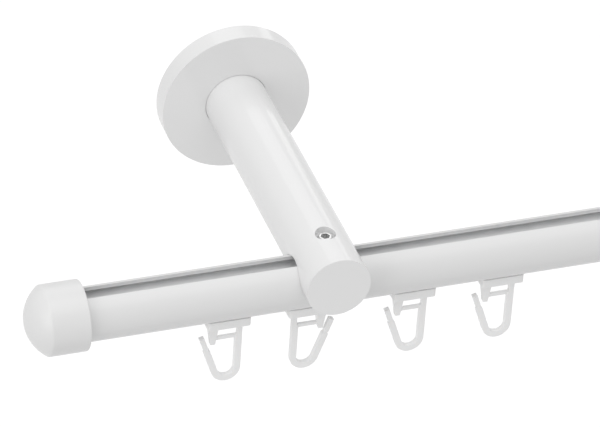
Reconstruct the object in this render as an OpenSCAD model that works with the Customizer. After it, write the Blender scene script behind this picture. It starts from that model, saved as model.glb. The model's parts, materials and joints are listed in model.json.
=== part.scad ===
// Curtain rod on two wall brackets, with gliders running inside the rod.
// The wall is the plane y = 0, the bracket arms lie on z = 0 and reach out
// along -y, and x = 0 is midway between the brackets.

/* [Rod] */
// Length of the rod profile
rod_len = 800; // [790:1:830]
// Outer diameter of the rod
rod_d = 20; // [20:0.1:20.1]
// Wall thickness of the rod
rod_wall = 1.5; // [1.3:0.1:1.6]
// Width of the clamping slot along the top
top_slot_w = 6.4; // [5.6:0.1:6.6]
// Width of the glider slot along the bottom
run_slot_w = 5; // [4.9:0.1:5.2]
// Thickness of the web between the two chambers
web_t = 1.3; // [1:0.1:1.4]
// Height of the web's top above the rod axis
web_top = 4.3; // [4.2:0.1:4.3]
// Depth of the running surface below the rod axis
track_z = 7.4; // [7.4:0.1:7.6]

/* [End caps] */
// Outer diameter of an end cap
cap_d = 26; // [25:0.5:28]
// Length of the straight part of an end cap
cap_len = 14.1; // [13:0.1:16]
// Height of the domed end
cap_dome = 7; // [4:0.1:7.5]
// How far the rod goes into the cap
cap_seat = 12.3; // [10:0.1:12.4]
// Length of the prongs that hold the cap in the rod
prong_len = 11; // [8:1:12]

/* [Brackets] */
// Distance between the two bracket arms
arm_pitch = 594.6; // [580:0.2:596]
// Distance from the wall to the rod axis
rod_out = 112; // [105:1:150]
// Diameter of a bracket arm
arm_d = 24; // [24:0.1:24.1]
// How far the arm reaches past the rod axis
arm_nose = 16; // [15:0.5:20]
// Height of the arm axis above the rod axis
rod_drop = 7; // [6.8:0.1:7.2]
// Diameter of the blind bore in the arm
arm_bore_d = 16.1; // [16.1:0.05:16.2]
// Solid length left between the blind bore and the rod
arm_solid = 16; // [13:1:30]

/* [Clamp] */
// Thread diameter of the clamp screw
clamp_d = 6; // [5:0.5:6]
// Width across flats of the clamp screw's socket
clamp_af = 3; // [2.5:0.1:3.2]
// How far the clamp screw sits behind the rod axis
clamp_back = 1.2; // [0:0.1:1.2]
// Diameter of the round recess over the clamp screw
recess_d = 7.7; // [7:0.1:9]
// Depth of the recess below the top of the arm
recess_depth = 2.6; // [2.2:0.1:3]
// How far the clamp screw's top lies below the top of the arm
screw_drop = 1.4; // [1.2:0.1:2]
// Diameter of the screw's point
dog_d = 3.4; // [3:0.1:3.4]
// Size of the slot key along the rod
key_len = 14; // [10:1:20]
// Size of the slot key across the rod
key_w = 9; // [8:0.5:9.5]
// Thickness of the slot key
key_t = 2.4; // [2:0.1:2.4]

/* [Wall fixing] */
// Outer diameter of the cover rosette
rosette_d = 58; // [56:1:64]
// Depth of the cover rosette
rosette_t = 8.4; // [8:0.1:9]
// Wall thickness of the cover rosette
rosette_wall = 1.8; // [1.5:0.1:2]
// Diameter of the wall plate
plate_d = 50; // [48:1:51]
// Thickness of the wall plate
plate_t = 3; // [2.8:0.1:3.1]
// Diameter of the circle of screw holes
holes_pcd = 38; // [36:1:40]
// Diameter of a screw hole
hole_d = 5.5; // [4.5:0.5:5.5]
// Number of screw holes
hole_count = 3; // [3:1:4]
// Diameter of the spigot in the arm
spigot_d = 16; // [15.9:0.05:16]
// Length of the spigot
spigot_len = 17; // [15:1:30]

/* [Gliders] */
// Length of a glider block
block_l = 16.2; // [14:0.1:17]
// Width of a glider block
block_w = 7.4; // [6:0.1:8]
// Height of a glider block
block_h = 3.5; // [3:0.1:4]
// Thickness of the hook's bar
bar_w = 2.5; // [2:0.1:2.6]
// Depth of the hook's bar
bar_t = 2; // [1.6:0.1:2.4]
// Length of a runner inside the rod
runner_l = 12; // [10:0.5:14]
// Width of a runner inside the rod
runner_w = 8; // [7:0.1:8]

/* [Hidden] */
$fn = 96;
rod_r = rod_d / 2;
arm_r = arm_d / 2;
cap_r = cap_d / 2;
bore_r = arm_bore_d / 2;
slide_gap = 0.08; // radial clearance of a part that slides or turns
seat_gap = 0.1; // clearance of a part that is pushed in and stays
free_gap = 0.3; // room between parts that only pass each other
over = 1; // how far a cutter runs past the face it cuts
arm_x = arm_pitch / 2;
hex_fn = 6;
hex_k = 1 / cos(30); // corner radius of a hexagon over half its flats

// Clamp, measured from the rod axis
bore_top = rod_r + seat_gap;
key_top = web_top + seat_gap + key_t;
screw_top = arm_r + rod_drop - screw_drop;
socket_depth = 3;
screw_chamfer = 0.8;

// Cap insert
insert_flange = 1.5;

// Wall fixing
lock_d = 4; // thread of the screw that locks the arm on its spigot
lock_af = 2;
lock_y = 5.75;
lock_end = 7; // how close its point comes to the arm axis
groove_w = 4.4;
groove_r = 6.8;
tie_d = 6; // thread of the screw that holds the spigot on the plate
tie_head_d = 12;
tie_head_t = 2.8;
tie_len = 14;
tie_af = 4;
arm_rear = plate_t + 0.2;
collar_t = 2.4;
collar_back = plate_t + 1;
ring_r = 0.85;
ring_y = 5.2;
wall_gap = 0.2;

// Glider and hook, measured from the rod axis
stem_d = 3.5;
stem_head_d = 5.2;
stem_head_t = 1.2;
runner_h = 2.6;
neck_l = 8;
neck_w = 4.2;
block_top = rod_r + free_gap;
block_bottom = block_top + block_h;
corner_r = 1;
shank_x = 4.6;
shank_top_w = 1.9; // the shank is thinner beside the eye
bend_x = 0.3;
bend_bottom = 39.5;
tip_x = -9.4;
tip_z = -19;
tip_w = 1.9;
tip_len = 6.8; // length of the thinner end of the hook
notch_w = 1.3;
notch_len = 1.4;
stub_x = -5.2;
stub_top_w = 4.6;
stub_low_w = 1.8;
stub_low = 22.3;
eye_bar_top = 19.2;
eye_bar_t = 1.4;
eye_bar_d = 1.2;
bend_r = shank_x - bend_x;
bend_c = [bend_x, bend_r + bar_w / 2 - bend_bottom];
tip_dist = norm([tip_x, tip_z] - bend_c);
tip_turn = atan2(tip_z - bend_c.y, tip_x - bend_c.x);
leave_turn = tip_turn + acos(bend_r / tip_dist); // where the bend meets the arm
slope_len = sqrt(tip_dist * tip_dist - bend_r * bend_r);
arc_steps = 14;

// Places of the gliders along the rod and which way their hooks turn
near_gliders = [-35.9, -5.3, 34.8, 69]; // from the left arm
far_count = 6;
far_first = 135;
far_pitch = 85;
turned_hook = 2;
glider_x = [
    for (g = near_gliders) g - arm_x,
    for (i = [0 : far_count - 1]) far_first + far_pitch * i - arm_x
];

// Puts a shape drawn about the rod axis where the rod is
module at_rod(x = 0) {
    translate([x, -rod_out, -rod_drop])
        children();
}

// Extrudes an outline of the rod's cross-section from x0 to x1
module along_rod(x0, x1) {
    translate([x0, 0, 0])
        rotate([90, 0, 90])
            linear_extrude(x1 - x0)
                children();
}

// Cylinder whose axis runs from y0 at the wall side out to y1
module out_from_wall(r, y0, y1) {
    translate([0, -y0, 0])
        rotate([90, 0, 0])
            cylinder(r = r, h = y1 - y0);
}

// Left bracket's place for -1, right bracket's for +1
module at_bracket(side) {
    translate([side * arm_x, 0, 0])
        children();
}

// Upper chamber of the rod, shrunk by gap
module upper_chamber(gap = 0) {
    intersection() {
        circle(r = rod_r - rod_wall - gap);
        translate([-rod_r, web_top + gap])
            square([rod_d, rod_r]);
    }
}

// Chamber that the runners slide in, shrunk by gap
module lower_chamber(gap = 0) {
    intersection() {
        circle(r = rod_r - rod_wall - gap);
        translate([-rod_r, gap - track_z])
            square([rod_d, track_z + web_top - web_t - 2 * gap]);
    }
}

module rod_section() {
    difference() {
        circle(r = rod_r);
        upper_chamber();
        lower_chamber();
        translate([-top_slot_w / 2, web_top + over])
            square([top_slot_w, rod_r]);
        translate([-run_slot_w / 2, -rod_r - over])
            square([run_slot_w, rod_r]);
    }
}

module rod_profile() {
    color("gainsboro")
        at_rod()
            along_rod(-rod_len / 2, rod_len / 2)
                rod_section();
}

// End cap for the left end, with its mouth towards +x
module end_cap_shape() {
    mouth = cap_seat - rod_len / 2;
    flat_end = mouth - cap_len;
    dome_r = (cap_r * cap_r + cap_dome * cap_dome) / (2 * cap_dome);
    insert_end = rod_len / 2 + insert_flange + seat_gap;
    at_rod()
        rotate([0, -90, 0])
            rotate_extrude()
                difference() {
                    union() {
                        translate([0, -mouth])
                            square([cap_r, cap_len]);
                        intersection() {
                            translate([0, -flat_end])
                                square([cap_r, cap_dome]);
                            translate([0, -flat_end + cap_dome - dome_r])
                                circle(r = dome_r, $fn = 180);
                        }
                    }
                    translate([-over, -mouth - over])
                        square([rod_r + seat_gap + over, insert_end + mouth + over]);
                }
}

// Insert for the left end: a flange on the rod's end and two prongs in its chambers
module cap_insert_shape() {
    rod_end = -rod_len / 2;
    at_rod() {
        along_rod(rod_end - insert_flange, rod_end)
            circle(r = rod_r);
        along_rod(rod_end, rod_end + prong_len) {
            upper_chamber(seat_gap);
            lower_chamber(seat_gap);
        }
    }
}

// Bracket arm: a turned bar, bored from the wall end and across for the rod
module arm_shape() {
    difference() {
        out_from_wall(arm_r, arm_rear, rod_out + arm_nose);
        out_from_wall(bore_r, 0, rod_out - arm_solid);
        translate([0, -rod_out, -rod_drop])
            rotate([0, 90, 0])
                cylinder(r = rod_r + seat_gap, h = arm_d + 2 * over, center = true);
        translate([0, clamp_back - rod_out, 0]) {
            cylinder(r = clamp_d / 2 + slide_gap, h = arm_r + over);
            translate([0, 0, arm_r - recess_depth])
                cylinder(d = recess_d, h = recess_depth + over);
        }
        translate([0, -lock_y, -arm_r - over])
            cylinder(r = lock_d / 2 + slide_gap, h = arm_r);
    }
}

// Grub screw with a chamfered end and a plain point that reaches through the rod's top slot
module clamp_screw_shape() {
    dog_top = bore_top + seat_gap;
    shoulder = screw_top - screw_chamfer;
    clamp_r = clamp_d / 2;
    at_rod()
        translate([0, clamp_back, 0])
            difference() {
                union() {
                    translate([0, 0, dog_top])
                        cylinder(d = clamp_d, h = shoulder - dog_top);
                    translate([0, 0, shoulder])
                        cylinder(r1 = clamp_r, r2 = clamp_r - screw_chamfer, h = screw_chamfer);
                    translate([0, 0, key_top + seat_gap])
                        cylinder(d = dog_d, h = dog_top - key_top);
                }
                translate([0, 0, screw_top - socket_depth])
                    cylinder(r = clamp_af / 2 * hex_k, h = socket_depth + over, $fn = hex_fn);
            }
}

// Steel key on the web, which spreads the clamp screw's load
module slot_key_shape() {
    at_rod()
        translate([-key_len / 2, -key_w / 2, web_top + seat_gap])
            cube([key_len, key_w, key_t]);
}

module wall_plate_shape() {
    difference() {
        out_from_wall(plate_d / 2, 0, plate_t);
        for (i = [0 : hole_count - 1])
            rotate([0, 90 + 360 / hole_count * i, 0])
                translate([holes_pcd / 2, 0, 0])
                    out_from_wall(hole_d / 2, -over, plate_t + over);
        out_from_wall(tie_d / 2 + seat_gap, -over, plate_t + over);
        rotate([90, 0, 0])
            cylinder(r1 = tie_head_d / 2 + seat_gap, r2 = tie_d / 2 + seat_gap, h = tie_head_t);
    }
}

// Turned spigot with a groove for the lock screw
module spigot_shape() {
    difference() {
        out_from_wall(spigot_d / 2, plate_t, plate_t + spigot_len);
        difference() {
            out_from_wall(arm_r, lock_y - groove_w / 2, lock_y + groove_w / 2);
            out_from_wall(groove_r, 0, plate_t + spigot_len);
        }
        out_from_wall(tie_d / 2 + seat_gap / 2, 0, tie_len + over);
    }
}

// Countersunk screw from the wall side into the spigot
module spigot_screw_shape() {
    head_r = tie_head_d / 2;
    difference() {
        union() {
            rotate([90, 0, 0])
                cylinder(r1 = head_r, r2 = tie_d / 2, h = tie_head_t);
            out_from_wall(tie_d / 2, 0, tie_len);
        }
        rotate([90, 0, 0])
            translate([0, 0, -over])
                cylinder(r = tie_af / 2 * hex_k, h = tie_head_t + over, $fn = hex_fn);
    }
}

// Grub screw from below that locks the arm on the spigot
module lock_screw_shape() {
    low = -arm_r + seat_gap;
    translate([0, -lock_y, low])
        difference() {
            cylinder(d = lock_d, h = -low - lock_end);
            translate([0, 0, -over])
                cylinder(r = lock_af / 2 * hex_k, h = lock_d / 2 + over, $fn = hex_fn);
        }
}

// Cover rosette: a cup with a collar that slides on the arm
module rosette_shape() {
    rotate([90, 0, 0])
        rotate_extrude($fn = 180)
            difference() {
                union() {
                    translate([arm_r + slide_gap, rosette_t - rosette_wall])
                        square([rosette_d / 2 - arm_r - slide_gap, rosette_wall]);
                    translate([rosette_d / 2 - rosette_wall, wall_gap])
                        square([rosette_wall, rosette_t - wall_gap]);
                    translate([arm_r + slide_gap, collar_back])
                        square([collar_t, rosette_t - collar_back]);
                }
                translate([arm_r, ring_y - ring_r - seat_gap / 2])
                    square([2 * ring_r + seat_gap, 2 * ring_r + seat_gap]);
            }
}

// Rubber ring in the collar, which keeps the rosette where it is pushed
module grip_ring_shape() {
    rotate([90, 0, 0])
        rotate_extrude()
            translate([arm_r + seat_gap / 2 + ring_r, ring_y])
                circle(r = ring_r, $fn = 32);
}

// Runner that slides on the lips inside the rod
module runner_shape() {
    low = seat_gap - track_z;
    end_r = runner_w / 2;
    difference() {
        union() {
            intersection() {
                translate([-runner_l / 2, -runner_w / 2, low])
                    cube([runner_l, runner_w, runner_h]);
                translate([0, 0, low])
                    cylinder(r = norm([runner_l / 2, end_r - corner_r]), h = runner_h);
            }
            translate([-neck_l / 2, -neck_w / 2, free_gap - rod_r])
                cube([neck_l, neck_w, rod_r - free_gap + low + over]);
        }
        translate([0, 0, -rod_r])
            cylinder(r = stem_d / 2 + slide_gap, h = rod_r);
    }
}

// Points along an arc about c, from angle a0 to a1
function arc(c, r, a0, a1) = [
    for (i = [0 : arc_steps])
        let (a = a0 + (a1 - a0) * i / arc_steps)
        c + r * [cos(a), sin(a)]
];

// Point beside the hook's sloping arm: side is off its middle, along is from the bend
function beside_slope(side, along) =
    bend_c + (bend_r + side) * [cos(leave_turn), sin(leave_turn)]
    + along * [sin(leave_turn), -cos(leave_turn)];

// Outline of the hook below its block, in the plane of the rod; a notch sets its thin end off
module hook_outline() {
    top = corner_r - block_bottom;
    half = bar_w / 2;
    tip_half = tip_w / 2;
    notch_half = notch_w / 2;
    shoulder = slope_len - tip_len;
    notch_mid = shoulder + notch_len / 2;
    notch_end = shoulder + notch_len;
    thin_x = shank_x + half - shank_top_w;
    polygon(concat(
        [[thin_x, top], [shank_x + half, top]],
        arc(bend_c, bend_r + half, 0, leave_turn - 360),
        [
            beside_slope(half, shoulder),
            beside_slope(notch_half, notch_mid),
            beside_slope(tip_half, notch_end),
            beside_slope(tip_half, slope_len),
            beside_slope(-tip_half, slope_len),
            beside_slope(-tip_half, notch_end),
            beside_slope(-notch_half, notch_mid),
            beside_slope(-half, shoulder)
        ],
        arc(bend_c, bend_r - half, leave_turn - 360, 0),
        [[shank_x - half, -eye_bar_top - eye_bar_t / 2], [thin_x, -eye_bar_top]]
    ));
    polygon([
        [stub_x - stub_top_w / 2, top],
        [stub_x + stub_top_w / 2, top],
        [stub_x + stub_low_w / 2, -stub_low],
        [stub_x - stub_low_w / 2, -stub_low]
    ]);
}

// Block with the hook below it and a snap stem that turns in the runner
module hook_shape() {
    stem_top = seat_gap - track_z + runner_h + seat_gap;
    rotate([90, 0, 0])
        linear_extrude(bar_t, center = true)
            hook_outline();
    translate([stub_x, -eye_bar_d / 2, -eye_bar_top - eye_bar_t])
        cube([shank_x - stub_x, eye_bar_d, eye_bar_t]);
    translate([0, 0, -block_bottom])
        linear_extrude(block_h)
            block_outline();
    translate([0, 0, -block_bottom + over])
        cylinder(d = stem_d, h = block_bottom - over + stem_top);
    translate([0, 0, stem_top])
        cylinder(d = stem_head_d, h = stem_head_t);
}

// Block seen from above: a rectangle with round corners
module block_outline() {
    far = [block_l / 2 - corner_r, block_w / 2 - corner_r];
    polygon(concat(
        arc([far.x, far.y], corner_r, 0, 90),
        arc([-far.x, far.y], corner_r, 90, 180),
        arc([-far.x, -far.y], corner_r, 180, 270),
        arc([far.x, -far.y], corner_r, 270, 360)
    ));
}

module end_cap(side) {
    color("white")
        mirror([side > 0 ? 1 : 0, 0, 0])
            end_cap_shape();
}

module cap_insert(side) {
    color("silver")
        mirror([side > 0 ? 1 : 0, 0, 0])
            cap_insert_shape();
}

module arm(side) {
    color("white")
        at_bracket(side)
            arm_shape();
}

module clamp_screw(side) {
    color("silver")
        at_bracket(side)
            clamp_screw_shape();
}

module slot_key(side) {
    color("silver")
        at_bracket(side)
            slot_key_shape();
}

module wall_plate(side) {
    color("silver")
        at_bracket(side)
            wall_plate_shape();
}

module spigot(side) {
    color("silver")
        at_bracket(side)
            spigot_shape();
}

module spigot_screw(side) {
    color("silver")
        at_bracket(side)
            spigot_screw_shape();
}

module lock_screw(side) {
    color("dimgray")
        at_bracket(side)
            lock_screw_shape();
}

module rosette(side) {
    color("white")
        at_bracket(side)
            rosette_shape();
}

module grip_ring(side) {
    color("dimgray")
        at_bracket(side)
            grip_ring_shape();
}

module runner(i) {
    color("white")
        at_rod(glider_x[i - 1])
            runner_shape();
}

module hook(i) {
    color("white")
        at_rod(glider_x[i - 1])
            rotate(i == turned_hook ? 180 : 0)
                hook_shape();
}

rod_profile();
end_cap(-1);  // end_cap_left
end_cap(1);  // end_cap_right
cap_insert(-1);  // cap_insert_left
cap_insert(1);  // cap_insert_right
arm(-1);  // arm_left
arm(1);  // arm_right
clamp_screw(-1);  // clamp_screw_left
clamp_screw(1);  // clamp_screw_right
slot_key(-1);  // slot_key_left
slot_key(1);  // slot_key_right
wall_plate(-1);  // wall_plate_left
wall_plate(1);  // wall_plate_right
spigot(-1);  // spigot_left
spigot(1);  // spigot_right
spigot_screw(-1);  // spigot_screw_left
spigot_screw(1);  // spigot_screw_right
lock_screw(-1);  // lock_screw_left
lock_screw(1);  // lock_screw_right
rosette(-1);  // rosette_left
rosette(1);  // rosette_right
grip_ring(-1);  // grip_ring_left
grip_ring(1);  // grip_ring_right
runner(1);  // runner_1
runner(2);  // runner_2
runner(3);  // runner_3
runner(4);  // runner_4
runner(5);  // runner_5
runner(6);  // runner_6
runner(7);  // runner_7
runner(8);  // runner_8
runner(9);  // runner_9
runner(10);  // runner_10
hook(1);  // hook_1
hook(2);  // hook_2
hook(3);  // hook_3
hook(4);  // hook_4
hook(5);  // hook_5
hook(6);  // hook_6
hook(7);  // hook_7
hook(8);  // hook_8
hook(9);  // hook_9
hook(10);  // hook_10
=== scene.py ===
import json
import math
import bpy
from mathutils import Matrix, Vector


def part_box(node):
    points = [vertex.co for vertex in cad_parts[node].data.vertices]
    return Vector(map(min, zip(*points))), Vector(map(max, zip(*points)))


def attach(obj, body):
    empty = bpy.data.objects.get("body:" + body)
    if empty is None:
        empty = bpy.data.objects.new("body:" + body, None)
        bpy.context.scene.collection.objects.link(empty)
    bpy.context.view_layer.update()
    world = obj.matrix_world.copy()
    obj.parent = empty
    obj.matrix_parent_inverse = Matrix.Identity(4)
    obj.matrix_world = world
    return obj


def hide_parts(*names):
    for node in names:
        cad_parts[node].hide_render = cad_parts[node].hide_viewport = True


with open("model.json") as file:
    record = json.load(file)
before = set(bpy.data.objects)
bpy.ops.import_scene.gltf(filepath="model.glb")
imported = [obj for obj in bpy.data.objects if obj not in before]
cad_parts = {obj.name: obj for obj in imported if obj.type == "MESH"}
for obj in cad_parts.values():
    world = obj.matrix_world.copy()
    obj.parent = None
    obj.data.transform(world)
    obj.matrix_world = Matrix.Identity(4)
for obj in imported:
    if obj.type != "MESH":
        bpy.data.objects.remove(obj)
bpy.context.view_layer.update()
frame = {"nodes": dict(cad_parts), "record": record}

nodes = frame["nodes"]
mm = 0.001
sides = ("left", "right")
gliders = [name[len("runner_"):] for name in nodes if name.startswith("runner_")]


def middle(node):  # centre of a CAD node's box
    low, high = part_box(node)
    return (Vector(low) + Vector(high)) / 2


rodAxis = middle("end_cap_left")  # any point of the rod's own axis
rodRadius = (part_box("rod_profile")[1][1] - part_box("rod_profile")[0][1]) / 2
bracketX = {side: middle("arm_" + side).x for side in sides}

mesh = {
    "weld": 0.002 * mm,
    "flat": 0.4,  # degrees between faces that are made one
    "sliver": 0.001 * mm,  # edges shorter than this go
    "sharp": 40,  # degrees from which an edge is rounded
    "softer": 20,  # the same for a cap, whose dome meets its side at a shallow angle
    "shade": 35,  # degrees up to which faces are shaded as one
}


def gliderAt(number):  # centre of a glider's runner, on the axis that its hook swivels about
    return middle("runner_" + number)


def deselectAll():
    if bpy.context.object and bpy.context.object.mode != "OBJECT":
        bpy.ops.object.mode_set(mode="OBJECT")
    bpy.ops.object.select_all(action="DESELECT")


def pick(piece):
    deselectAll()
    piece.select_set(True)
    bpy.context.view_layer.objects.active = piece


def editMesh(piece, action="DESELECT"):
    pick(piece)
    bpy.ops.object.mode_set(mode="EDIT")
    bpy.ops.mesh.select_mode(type="VERT")
    bpy.ops.mesh.select_all(action=action)


def objectMode():
    bpy.ops.object.mode_set(mode="OBJECT")


# Smooth shading in which large faces keep their own normals, so long cylinders don't streak
def smooth(piece):
    pick(piece)
    bpy.ops.object.shade_smooth_by_angle(angle=math.radians(mesh["shade"]))
    weighted = piece.modifiers.new("normals", "WEIGHTED_NORMAL")
    weighted.keep_sharp = True
    bpy.ops.object.modifier_apply(modifier=weighted.name)


def bevelEdges(piece, width, segments, angle):
    pick(piece)
    bevel = piece.modifiers.new("edges", "BEVEL")
    bevel.width = width
    bevel.segments = segments
    bevel.limit_method = "ANGLE"
    bevel.angle_limit = math.radians(angle)
    bevel.use_clamp_overlap = True
    bpy.ops.object.modifier_apply(modifier=bevel.name)
    editMesh(piece, "SELECT")  # a clamped bevel leaves faces of no area
    bpy.ops.mesh.dissolve_degenerate(threshold=mesh["sliver"])
    objectMode()


# A copy of a CAD node, welded and with its flat faces made whole again, ready for fine edges
def copyOf(node, name):
    piece = nodes[node].copy()
    piece.data = nodes[node].data.copy()
    piece.name = name
    piece.parent = None
    piece.matrix_world = Matrix.Identity(4)
    bpy.context.scene.collection.objects.link(piece)
    editMesh(piece, "SELECT")
    bpy.ops.mesh.remove_doubles(threshold=mesh["weld"])
    bpy.ops.mesh.dissolve_limited(angle_limit=math.radians(mesh["flat"]))
    objectMode()
    return piece


def fineEdges(node, name, width, segments=3, angle=mesh["sharp"]):
    piece = copyOf(node, name)
    bevelEdges(piece, width, segments, angle)
    smooth(piece)
    return piece


# The same piece again on another glider, its mesh moved and perhaps turned half round
def again(piece, fromNumber, toNumber, name, halfTurn):
    other = piece.copy()
    other.data = piece.data.copy()
    other.name = name
    bpy.context.scene.collection.objects.link(other)
    turn = Matrix.Rotation(math.pi if halfTurn else 0, 4, "Z")
    other.data.transform(Matrix.Translation(gliderAt(toNumber)) @ turn
                         @ Matrix.Translation(-gliderAt(fromNumber)))
    return other


# Makes a piece stand in for a CAD node, on the same body and with the material given
def standFor(piece, node, material):
    body = next(b for b, parts in frame["record"]["behaviour"]["bodies"].items() if node in parts)
    slot = next(s["material_slot"] for s in frame["record"]["subparts"] if s["node"] == node)
    piece.data.materials.clear()
    piece.data.materials.append(material)
    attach(piece, body)
    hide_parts(node)
    return piece


def coat(node, material):  # a CAD node that stays gets its finish here
    data = nodes[node].data
    data.materials.clear()
    data.materials.append(material)


class Wire:  # a socket that can be used in an expression
    def __init__(self, shader, socket):
        self.shader = shader
        self.socket = socket

    def maths(self, operation, *values):
        return self.shader.node("ShaderNodeMath", {"operation": operation},
                                dict(enumerate(values)))

    def __add__(self, other):
        return self.maths("ADD", self, other)

    def __radd__(self, other):
        return self.maths("ADD", other, self)

    def __sub__(self, other):
        return self.maths("SUBTRACT", self, other)

    def __rsub__(self, other):
        return self.maths("SUBTRACT", other, self)

    def __mul__(self, other):
        return self.maths("MULTIPLY", self, other)

    def __rmul__(self, other):
        return self.maths("MULTIPLY", other, self)

    def __truediv__(self, other):
        return self.maths("DIVIDE", self, other)

    def __pow__(self, other):
        return self.maths("POWER", self, other)

    def ramp(self, low, high):  # 0 below low, 1 above high, smooth between
        return self.shader.node("ShaderNodeMapRange", {"interpolation_type": "SMOOTHSTEP"},
                                {"Value": self, "From Min": low, "From Max": high})


class Shader:
    def __init__(self, name, **settings):
        self.material = bpy.data.materials.new(name)
        self.material.use_nodes = True
        self.tree = self.material.node_tree
        self.surface = self.tree.nodes["Principled BSDF"]
        for socket, value in settings.items():
            self.surface.inputs[socket.replace("_", " ")].default_value = value

    def node(self, kind, settings, inputs, output=0):
        made = self.tree.nodes.new(kind)
        for key, value in settings.items():
            setattr(made, key, value)
        for key, value in inputs.items():
            if isinstance(value, Wire):
                self.tree.links.new(value.socket, made.inputs[key])
            else:
                made.inputs[key].default_value = value
        return Wire(self, made.outputs[output])

    def place(self, offset=(0, 0, 0), scale=(1, 1, 1)):  # object coordinates in metres
        here = self.node("ShaderNodeTexCoord", {}, {}, "Object")
        return self.node("ShaderNodeMapping", {},
                         {"Vector": here, "Location": offset, "Scale": scale})

    def axes(self, vector):
        return [self.node("ShaderNodeSeparateXYZ", {}, {"Vector": vector}, i) for i in range(3)]

    def noise(self, size, detail=2.0, rough=0.5, stretch=(1, 1, 1)):  # size of a speck in metres
        where = self.place(scale=tuple(s / size for s in stretch))
        return self.node("ShaderNodeTexNoise", {}, {"Vector": where, "Scale": 1.0,
                                                    "Detail": detail, "Roughness": rough})

    def mix(self, factor, a, b):  # colours
        return self.node("ShaderNodeMix", {"data_type": "RGBA"},
                         {0: factor, 6: a, 7: b}, 2)

    def bump(self, height, depth):
        return self.node("ShaderNodeBump", {}, {"Height": height, "Distance": depth,
                                                "Strength": 1.0})

    def feed(self, **links):
        for socket, wire in links.items():
            self.tree.links.new(wire.socket, self.surface.inputs[socket.replace("_", " ")])
        return self.material


def tone(value, warm=0.0):  # neutral colour, a little warmer or cooler
    return (value * (1 + warm), value, value * (1 - warm), 1)


powderCoat = {
    "white": 0.787,
    "whiteShift": 0.018,  # cloudiness of the coat
    "roughness": 0.42,
    "roughShift": 0.09,
    "peel": 0.9 * mm,  # size of the orange peel
    "peelDepth": 0.006 * mm,
    "grain": 0.16 * mm,
    "grainDepth": 0.0012 * mm,
    "cloud": 14 * mm,
    "speck": 0.35 * mm,
    "wear": 6 * mm,  # size of the patches of roughness
    "whiteSpan": 0.02,  # how far the cloudiness may go from the white, each way
    "gloss": 0.45,  # clear layer on the arm and rosette
    "glossRough": 0.07,
}


# Satin powder coat; the shader is given back so that a bare inside can be added
def coatShader(name, white):
    v = powderCoat
    s = Shader(name, IOR=1.5, Coat_Roughness=v["glossRough"], Coat_IOR=1.5)
    cloud = s.noise(v["cloud"], 3)
    speck = s.noise(v["speck"], 1)
    shift = (cloud - 0.5) * v["whiteShift"] * 2 + (speck - 0.5) * v["whiteShift"]
    span = v["whiteSpan"]
    colour = s.mix(shift + 0.5, tone(white - span, 0.001), tone(white + span, -0.001))
    roughness = v["roughness"] + (s.noise(v["wear"], 4, 0.6) - 0.5) * v["roughShift"]
    peel = s.noise(v["peel"], 1.0, 0.4)
    grain = s.noise(v["grain"], 0.0)
    height = peel + grain * (v["grainDepth"] / v["peelDepth"])
    return s, colour, roughness, height


def whiteCoat(name):
    s, colour, roughness, height = coatShader(name, powderCoat["white"])
    s.surface.inputs["Coat Weight"].default_value = powderCoat["gloss"]
    return s.feed(Base_Color=colour, Roughness=roughness,
                  Normal=s.bump(height, powderCoat["peelDepth"]))


# The rod is coated outside and bare aluminium in its chambers; the bare colour is painted lighter
# than the coat, painted light that lifts the shade in the slot
rodFinish = {
    "white": 0.74,
    # the chambers' colour, set lighter than the coat's white: painted light that lifts the shade in
    # the slot
    "bareWithPaintedLight": 0.84,
    "bareRough": 0.45,
    "coatDepth": 1.0 * mm,  # how far over the lips the coat reaches
    "coatFade": 0.25 * mm,
    "dieLine": 0.22 * mm,
    "lineHeight": 0.8,  # die lines against the coat's own bumps
    "bareMetal": 0.1,
    "gloss": 0.15,
}


def rodCoat():
    v = rodFinish
    s, colour, roughness, height = coatShader("rodCoat", v["white"])
    x, y, z = s.axes(s.place(offset=tuple(-rodAxis)))
    radius = (y * y + z * z) ** 0.5
    edge = rodRadius - v["coatDepth"]
    coated = radius.ramp(edge - v["coatFade"], edge + v["coatFade"])
    lines = s.noise(v["dieLine"], 2, 0.6, stretch=(0.004, 1, 1))  # drawn along the rod
    # bare aluminium with die lines, its colour lifted above the coat's: painted light in the shaded
    # chambers
    bareColourWithPaintedLight = s.mix(lines, tone(v["bareWithPaintedLight"] * 0.86, -0.004), tone(v["bareWithPaintedLight"] * 1.12, -0.004))
    bareRough = v["bareRough"] + (lines - 0.5) * 0.16
    allColour = s.mix(coated, bareColourWithPaintedLight, colour)
    allRough = coated * roughness + (1 - coated) * bareRough
    metal = (1 - coated) * v["bareMetal"]
    allHeight = coated * height + (1 - coated) * lines * v["lineHeight"]
    bumps = s.bump(allHeight, powderCoat["peelDepth"])
    return s.feed(Base_Color=allColour, Roughness=allRough, Metallic=metal,
                  Coat_Weight=coated * v["gloss"], Normal=bumps)


plastics = {
    "cap": {"white": 0.75, "roughness": 0.36, "texture": 0.45 * mm, "depth": 0.003 * mm},
    "glider": {"white": 0.88, "roughness": 0.38, "texture": 0.30 * mm, "depth": 0.003 * mm},
    "insert": {"white": 0.42, "roughness": 0.45, "texture": 0.40 * mm, "depth": 0.004 * mm},
}


mould = {
    "flow": 9 * mm,  # size of the flow clouds
    "whiteSpan": 0.015,
    "flowRough": 0.10,
    "skinRough": 0.06,
    "glow": 0.15,  # how much light the gliders let in
    "glowDepth": 1.5 * mm,
    "glowRadius": (0.9, 0.85, 0.8),
}


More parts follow.
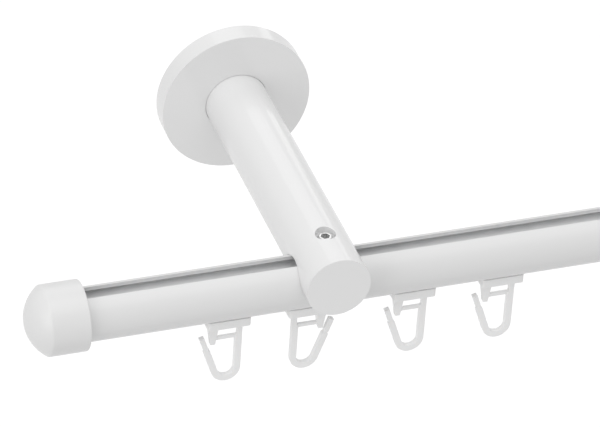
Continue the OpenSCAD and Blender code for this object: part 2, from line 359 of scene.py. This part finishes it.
# Moulded plastic: faint flow clouds, a fine spark-eroded skin
def moulded(name, kind, glow=0.0):
    v = plastics[kind]
    m = mould
    s = Shader(name, IOR=1.49, Subsurface_Weight=glow, Subsurface_Radius=m["glowRadius"],
               Subsurface_Scale=m["glowDepth"])
    flow = s.noise(m["flow"], 2, 0.5, stretch=(1, 1, 0.5))
    skin = s.noise(v["texture"], 2, 0.55)
    span = m["whiteSpan"]
    colour = s.mix(flow, tone(v["white"] - span, 0.002), tone(v["white"] + span))
    roughness = v["roughness"] + (flow - 0.5) * m["flowRough"] + (skin - 0.5) * m["skinRough"]
    return s.feed(Base_Color=colour, Roughness=roughness, Normal=s.bump(skin, v["depth"]))


turnedSteel = {
    "bright": 0.78,
    "spigot": 0.50,  # the plainer steel of the hidden parts
    "tie": 0.55,
    "roughness": 0.30,
    "groove": 0.10 * mm,
}


# Turned steel: fine rings about the axis through centre, which runs along the given axis
def turned(name, centre, along, bright=turnedSteel["bright"]):
    v = turnedSteel
    s = Shader(name, Metallic=1.0)
    parts = s.axes(s.place(offset=tuple(-c for c in centre)))
    across = [p for i, p in enumerate(parts) if i != along]
    radius = (across[0] * across[0] + across[1] * across[1]) ** 0.5
    where = s.node("ShaderNodeCombineXYZ", {}, {0: radius / v["groove"],
                                                1: parts[along] / (v["groove"] * 2)})
    rings = s.node("ShaderNodeTexNoise", {}, {"Vector": where, "Scale": 1.0, "Detail": 2.0})
    stain = s.noise(1.6 * mm, 3, 0.6)
    colour = s.mix(rings * 0.6 + stain * 0.4, tone(bright * 0.88), tone(bright * 1.06))
    rough = v["roughness"] + (stain - 0.5) * 0.16 + (rings - 0.5) * 0.10
    return s.feed(Base_Color=colour, Roughness=rough, Normal=s.bump(rings, 0.002 * mm))


zincPlate = {
    "zinc": 0.58,
    "roughness": 0.34,
    "spangle": 0.8 * mm,
    "rolled": 0.25 * mm,  # width of the rolling lines
    "depth": 0.002 * mm,
}


def zincPlated(name):
    v = zincPlate
    s = Shader(name, Metallic=1.0)
    spangle = s.node("ShaderNodeTexVoronoi", {}, {"Vector": s.place(scale=(1 / v["spangle"],) * 3),
                                                  "Scale": 1.0}, "Color")
    level = s.node("ShaderNodeSeparateColor", {}, {0: spangle}, 0)
    rolled = s.noise(v["rolled"], 2, 0.6, stretch=(0.03, 1, 1))
    colour = s.mix(level * 0.35 + rolled * 0.65, tone(v["zinc"] * 0.85, -0.01),
                   tone(v["zinc"] * 1.1, -0.015))
    rough = v["roughness"] + (rolled - 0.5) * 0.14 + (level - 0.5) * 0.06
    return s.feed(Base_Color=colour, Roughness=rough, Normal=s.bump(rolled, v["depth"]))


oxideSkin = {"dark": 0.035, "rubbed": 0.09, "roughness": 0.36, "rub": 0.7 * mm, "depth": 0.003 * mm}


def blackOxide():
    v = oxideSkin
    s = Shader("blackOxide", Metallic=0.85)
    rub = s.noise(v["rub"], 3, 0.6)
    colour = s.mix(rub.ramp(0.45, 0.75), tone(v["dark"]), tone(v["rubbed"]))
    return s.feed(Base_Color=colour, Roughness=v["roughness"] + rub * 0.16,
                  Normal=s.bump(rub, v["depth"]))


rubberSkin = {
    "dark": 0.018,
    "light": 0.04,
    "roughness": 0.55,
    "bloom": 0.5 * mm,
    "depth": 0.006 * mm,
}


def ringRubber():
    v = rubberSkin
    s = Shader("ringRubber", IOR=1.5)
    bloom = s.noise(v["bloom"], 3, 0.6)
    colour = s.mix(bloom, tone(v["dark"]), tone(v["light"]))
    return s.feed(Base_Color=colour, Roughness=v["roughness"] + bloom * 0.2,
                  Normal=s.bump(bloom, v["depth"]))


print("finishes")
rodPaint = rodCoat()
armPaint = whiteCoat("armCoat")
rosettePaint = whiteCoat("rosetteCoat")
capPlastic = moulded("capPlastic", "cap")
gliderPlastic = moulded("gliderPlastic", "glider", mould["glow"])
insertPlastic = moulded("insertPlastic", "insert")
zinc = zincPlated("zincPlate")
oxide = blackOxide()
rubber = ringRubber()


fine = {
    "rod": 0.15 * mm,
    "arm": 0.14 * mm,
    "rosette": 0.16 * mm,
    "cap": 0.50 * mm,
    "hook": 0.20 * mm,
    "runner": 0.15 * mm,
    "plate": 0.25 * mm,
    "screw": 0.08 * mm,
}

print("rod")
rod = fineEdges("rod_profile", "rod", fine["rod"])
standFor(rod, "rod_profile", rodPaint)

for side in sides:
    print("bracket", side)
    arm = fineEdges("arm_" + side, "arm_" + side + "_fine", fine["arm"])
    standFor(arm, "arm_" + side, armPaint)
    rosette = fineEdges("rosette_" + side, "rosette_" + side + "_fine", fine["rosette"])
    standFor(rosette, "rosette_" + side, rosettePaint)
    plate = fineEdges("wall_plate_" + side, "wall_plate_" + side + "_fine", fine["plate"], 2)
    standFor(plate, "wall_plate_" + side, zinc)
    cap = fineEdges("end_cap_" + side, "end_cap_" + side + "_fine", fine["cap"], 4, mesh["softer"])
    standFor(cap, "end_cap_" + side, capPlastic)
    x = bracketX[side]
    screwSteel = turned("screwSteel_" + side, middle("clamp_screw_" + side), 2)
    screw = fineEdges("clamp_screw_" + side, "clamp_screw_" + side + "_fine", fine["screw"], 2)
    standFor(screw, "clamp_screw_" + side, screwSteel)
    coat("spigot_" + side, turned("spigotSteel_" + side, (x, 0, 0), 1, turnedSteel["spigot"]))
    coat("spigot_screw_" + side, turned("tieSteel_" + side, (x, 0, 0), 1, turnedSteel["tie"]))
    coat("slot_key_" + side, zinc)
    coat("lock_screw_" + side, oxide)
    coat("grip_ring_" + side, rubber)
    coat("cap_insert_" + side, insertPlastic)


print("gliders")
first = gliders[0]
hooks = {first: fineEdges("hook_" + first, "hook_" + first + "_fine", fine["hook"], 2)}
runners = {first: fineEdges("runner_" + first, "runner_" + first + "_fine", fine["runner"], 2)}


def hookSide(number):  # on which side of its stem the hook reaches further
    return middle("hook_" + number).x > gliderAt(number).x


for number in gliders[1:]:
    halfTurn = hookSide(number) != hookSide(first)
    hooks[number] = again(hooks[first], first, number, "hook_" + number + "_fine", halfTurn)
    runners[number] = again(runners[first], first, number, "runner_" + number + "_fine", False)
for number in gliders:
    standFor(hooks[number], "hook_" + number, gliderPlastic)
    standFor(runners[number], "runner_" + number, gliderPlastic)


stage = {
    "floorBelow": 0.55,  # from the rod down to the floor
    "floorSize": 9.0,
    "floorWhite": 0.965,
    "floorGlow": 0.12,
    "floorRough": 0.9,
    "paper": 30 * mm,
    "paperSpan": 0.01,
    "sky": 0.63,  # as a source of light
    "skySeen": 1.0,  # the backdrop as the camera sees it
}

print("stage")
deselectAll()
bpy.ops.mesh.primitive_plane_add(size=stage["floorSize"],
                                 location=(0, 0, rodAxis.z - stage["floorBelow"]))
floor = bpy.context.object
floor.name = "floor"
floorShader = Shader("floorPaper", Roughness=stage["floorRough"], Emission_Color=tone(1),
                     Emission_Strength=stage["floorGlow"])
paper = floorShader.noise(stage["paper"], 3)
floor.data.materials.append(floorShader.feed(
    Base_Color=floorShader.mix(paper, tone(stage["floorWhite"] - stage["paperSpan"]),
                               tone(stage["floorWhite"] + stage["paperSpan"]))))
floor.visible_diffuse = False  # white to look at, but throws no light up at the rod

lights = {  # place, aim, size and power of each softbox
    "top": {"at": (-0.4, -1.0, 4.0), "to": (-0.2, -0.08, 0), "size": (4.5, 3.5), "power": 60},
    "left": {"at": (-1.6, -0.7, 0.5), "to": (-0.3, -0.05, 0), "size": (0.8, 1.2), "power": 5.7},
    "back": {"at": (0.1, 1.3, 1.3), "to": (-0.3, -0.1, 0), "size": (1.4, 0.8), "power": 3.3},
    "edge": {"at": (0.86, 1.45, 0.61), "to": (-0.3, -0.06, 0), "size": (0.16, 0.9), "power": 0.65},
    "right": {"at": (1.1, -0.5, 0.8), "to": (-0.3, -0.05, 0), "size": (0.4, 1.2), "power": 1.6},
    "low": {"at": (-0.35, -0.60, -0.48), "to": (-0.3, -0.1, 0), "size": (1.2, 0.4), "power": 0.38},
}

for name, v in lights.items():
    data = bpy.data.lights.new(name + "Softbox", "AREA")
    data.shape = "RECTANGLE"
    data.size, data.size_y = v["size"]
    data.energy = v["power"]
    lamp = bpy.data.objects.new(name + "Softbox", data)
    bpy.context.scene.collection.objects.link(lamp)
    lamp.location = v["at"]
    lamp.visible_camera = False
    lamp.rotation_euler = (Vector(v["to"]) - Vector(v["at"])).to_track_quat("-Z", "Y").to_euler()

world = bpy.data.worlds.new("studio")
bpy.context.scene.world = world
world.use_nodes = True
sky = world.node_tree
background = sky.nodes["Background"]
background.inputs["Color"].default_value = (1, 1, 1, 1)
rays = sky.nodes.new("ShaderNodeLightPath")
level = sky.nodes.new("ShaderNodeMapRange")
level.inputs["To Min"].default_value = stage["sky"]
level.inputs["To Max"].default_value = stage["skySeen"]
sky.links.new(rays.outputs["Is Camera Ray"], level.inputs["Value"])
sky.links.new(level.outputs["Result"], background.inputs["Strength"])
bpy.context.scene.view_settings.view_transform = "Standard"

view = {
    "azimuth": 20.83,
    "elevation": 35.93,
    "roll": 4.0,
    "distance": 1.6,
    "scale": 2.78,  # picture widths: points per millimetre at the aim
    "width": 600,
    "sensor": 36,  # mm, the camera's film
    "near": 0.05,
    "far": 20,
    "across": 8.45 * mm,  # where the left arm's clamp lies from the picture's middle
    "up": -22.95 * mm,
}


def makeCamera():
    v = view
    a, e, r = (math.radians(v[k]) for k in ("azimuth", "elevation", "roll"))
    look = Vector((math.sin(a) * math.cos(e), math.cos(a) * math.cos(e), -math.sin(e)))
    flat = Vector((math.cos(a), -math.sin(a), 0))
    tall = flat.cross(look)
    right = math.cos(r) * flat + math.sin(r) * tall
    up = math.cos(r) * tall - math.sin(r) * flat
    target = Vector((bracketX["left"], rodAxis.y, rodAxis.z))
    aim = target - right * v["across"] - up * v["up"]
    data = bpy.data.cameras.new("camera")
    data.sensor_width = v["sensor"]
    data.lens = v["scale"] * v["distance"] / mm * data.sensor_width / v["width"]
    data.clip_start, data.clip_end = v["near"], v["far"]
    camera = bpy.data.objects.new("camera", data)
    bpy.context.scene.collection.objects.link(camera)
    camera.matrix_world = Matrix.Translation(aim - look * v["distance"]) @ Matrix(
        (right, up, -look)).transposed().to_4x4()
    bpy.context.scene.camera = camera


makeCamera()
